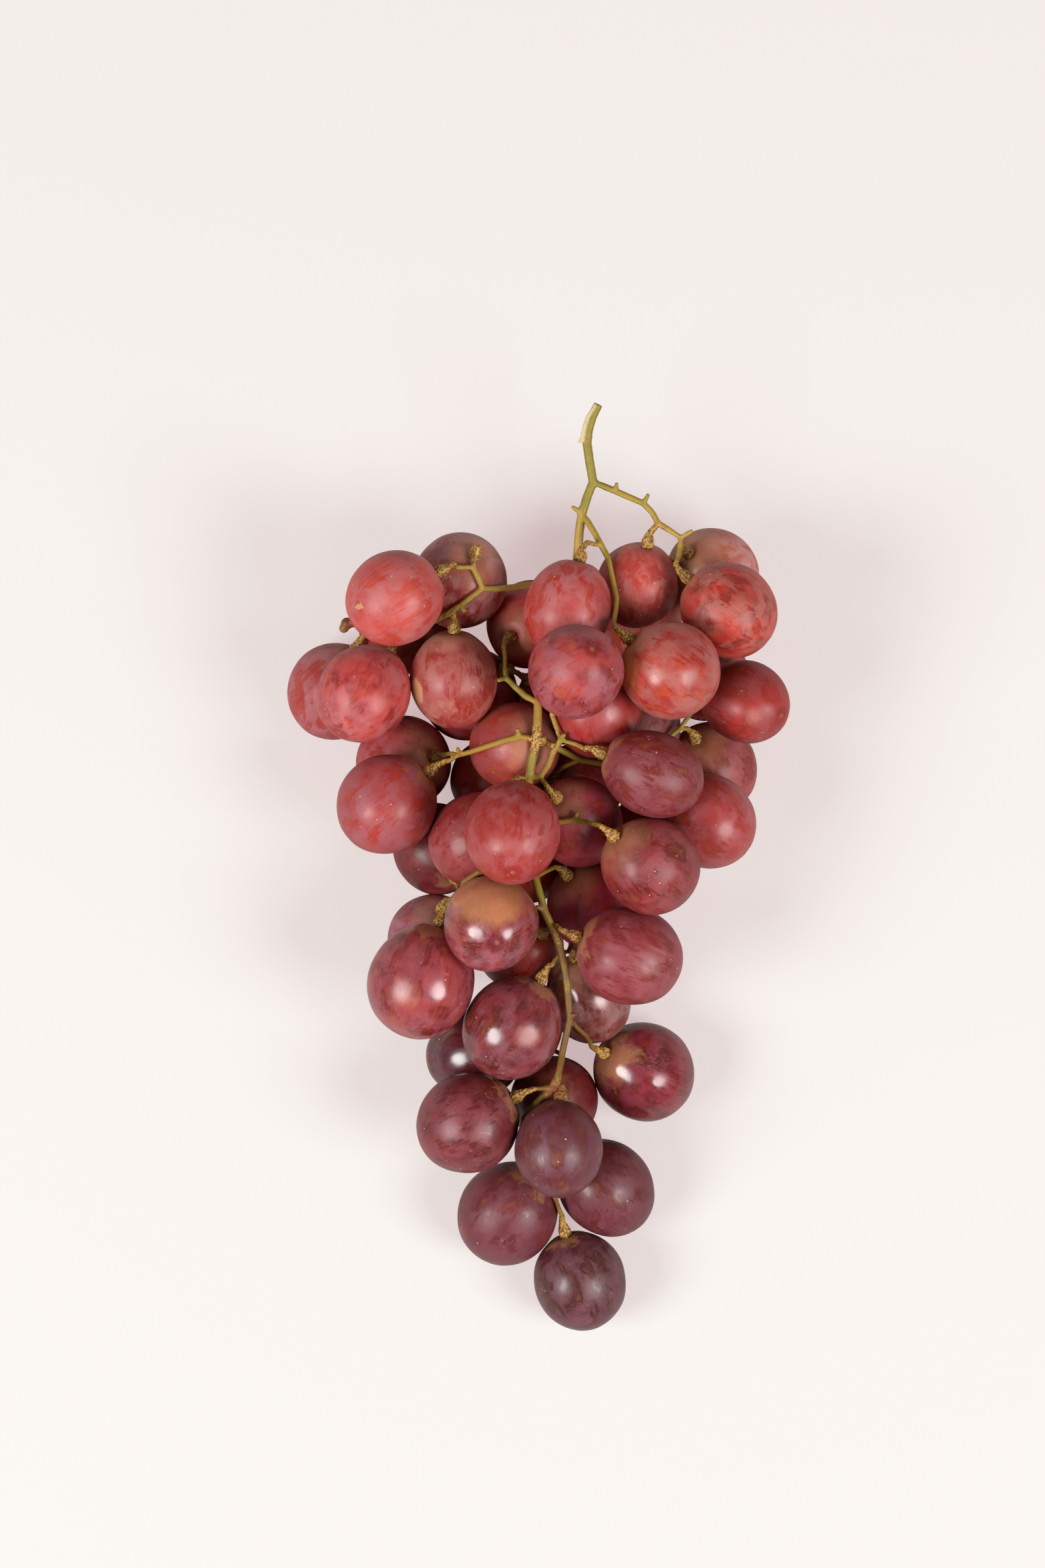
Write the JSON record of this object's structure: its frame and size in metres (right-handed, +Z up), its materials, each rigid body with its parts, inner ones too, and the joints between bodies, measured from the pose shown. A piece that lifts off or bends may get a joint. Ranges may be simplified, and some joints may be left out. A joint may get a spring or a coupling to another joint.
{
  "type": "bunch of grapes",
  "caption": "Bunch of large red table grapes lying on its side, with plump oval berries on one branched green-gold stalk.",
  "frame": {"origin": "middle of the bunch's footprint, on the surface it lies on", "axes": "+Z up from the surface, +Y along the bunch towards the cut end of the stalk, +X across it"},
  "size_m": [0.1276, 0.2372, 0.0735],
  "materials": {
    "skin_rose": "satin",
    "skin_scarlet": "satin",
    "skin_crimson": "satin",
    "skin_mauve": "satin",
    "skin_plum": "satin",
    "skin_dusk": "satin",
    "stalk": "matte"
  },
  "bodies": {
    "root": {"berry_01": "skin_rose", "berry_02": "skin_crimson", "berry_03": "skin_crimson", "berry_04": "skin_scarlet", "berry_05": "skin_rose", "berry_06": "skin_plum", "berry_07": "skin_plum", "berry_08": "skin_scarlet", "berry_09": "skin_mauve", "berry_10": "skin_crimson", "berry_11": "skin_rose", "berry_12": "skin_scarlet", "berry_13": "skin_rose", "berry_14": "skin_crimson", "berry_15": "skin_plum", "berry_16": "skin_plum", "berry_17": "skin_scarlet", "berry_18": "skin_crimson", "berry_19": "skin_crimson", "berry_20": "skin_plum", "berry_21": "skin_mauve", "berry_22": "skin_plum", "berry_23": "skin_mauve", "berry_24": "skin_scarlet", "berry_25": "skin_mauve", "berry_26": "skin_rose", "berry_27": "skin_mauve", "berry_28": "skin_crimson", "berry_29": "skin_mauve", "berry_30": "skin_mauve", "berry_31": "skin_crimson", "berry_32": "skin_crimson", "berry_33": "skin_plum", "berry_34": "skin_crimson", "berry_35": "skin_dusk", "berry_36": "skin_crimson", "berry_37": "skin_mauve", "berry_38": "skin_dusk", "berry_39": "skin_plum", "berry_40": "skin_plum", "berry_41": "skin_dusk", "berry_42": "skin_dusk", "berry_43": "skin_rose", "berry_44": "skin_plum", "berry_45": "skin_dusk", "berry_46": "skin_dusk", "berry_47": "skin_mauve", "berry_48": "skin_dusk", "berry_49": "skin_plum", "berry_50": "skin_crimson", "berry_51": "skin_dusk", "stalk": "stalk"}
  },
  "joints": []
}
